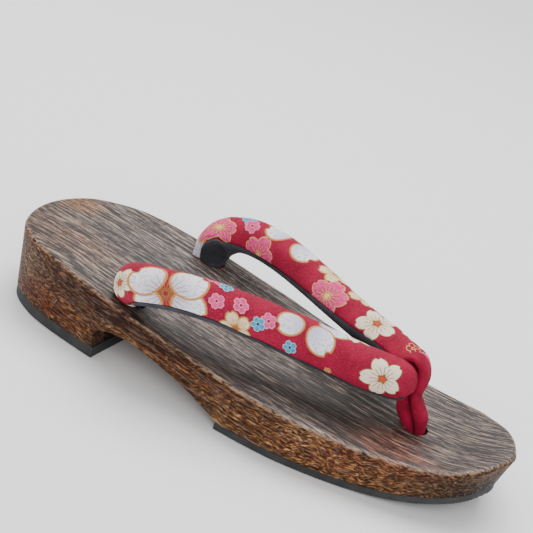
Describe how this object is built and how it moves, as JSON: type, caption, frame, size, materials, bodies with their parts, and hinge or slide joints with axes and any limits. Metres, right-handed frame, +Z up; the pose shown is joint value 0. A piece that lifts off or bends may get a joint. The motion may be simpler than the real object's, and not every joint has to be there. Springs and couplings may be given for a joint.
{
  "type": "geta sandal",
  "caption": "Low wooden geta sandal with a carved tread, an arched underside, rubber treads, a padded cloth strap and a toe thong.",
  "frame": {"origin": "centre of the bounding box, on the floor", "axes": "+X from the heel to the toe, +Y to the shoe's left, which is its inner side, +Z up"},
  "size_m": [0.24, 0.0922, 0.0566],
  "materials": {
    "charred_wood": "scorched and brushed, satin wax, lengthwise grain",
    "black_rubber": "matte with fine cross ribs",
    "printed_cotton": "crimson cotton with a traditional cherry blossom print, padded",
    "black_velvet": "short black pile",
    "red_cotton": "plain crimson crepe",
    "hemp_cord": "natural twisted cord"
  },
  "bodies": {
    "root": {"wood_base": "charred_wood", "heel_rubber": "black_rubber", "forefoot_rubber": "black_rubber", "strap_upper": "printed_cotton", "strap_lining": "black_velvet", "toe_loop": "red_cotton", "rear_knot_outer": "hemp_cord", "rear_knot_inner": "hemp_cord"}
  },
  "joints": []
}
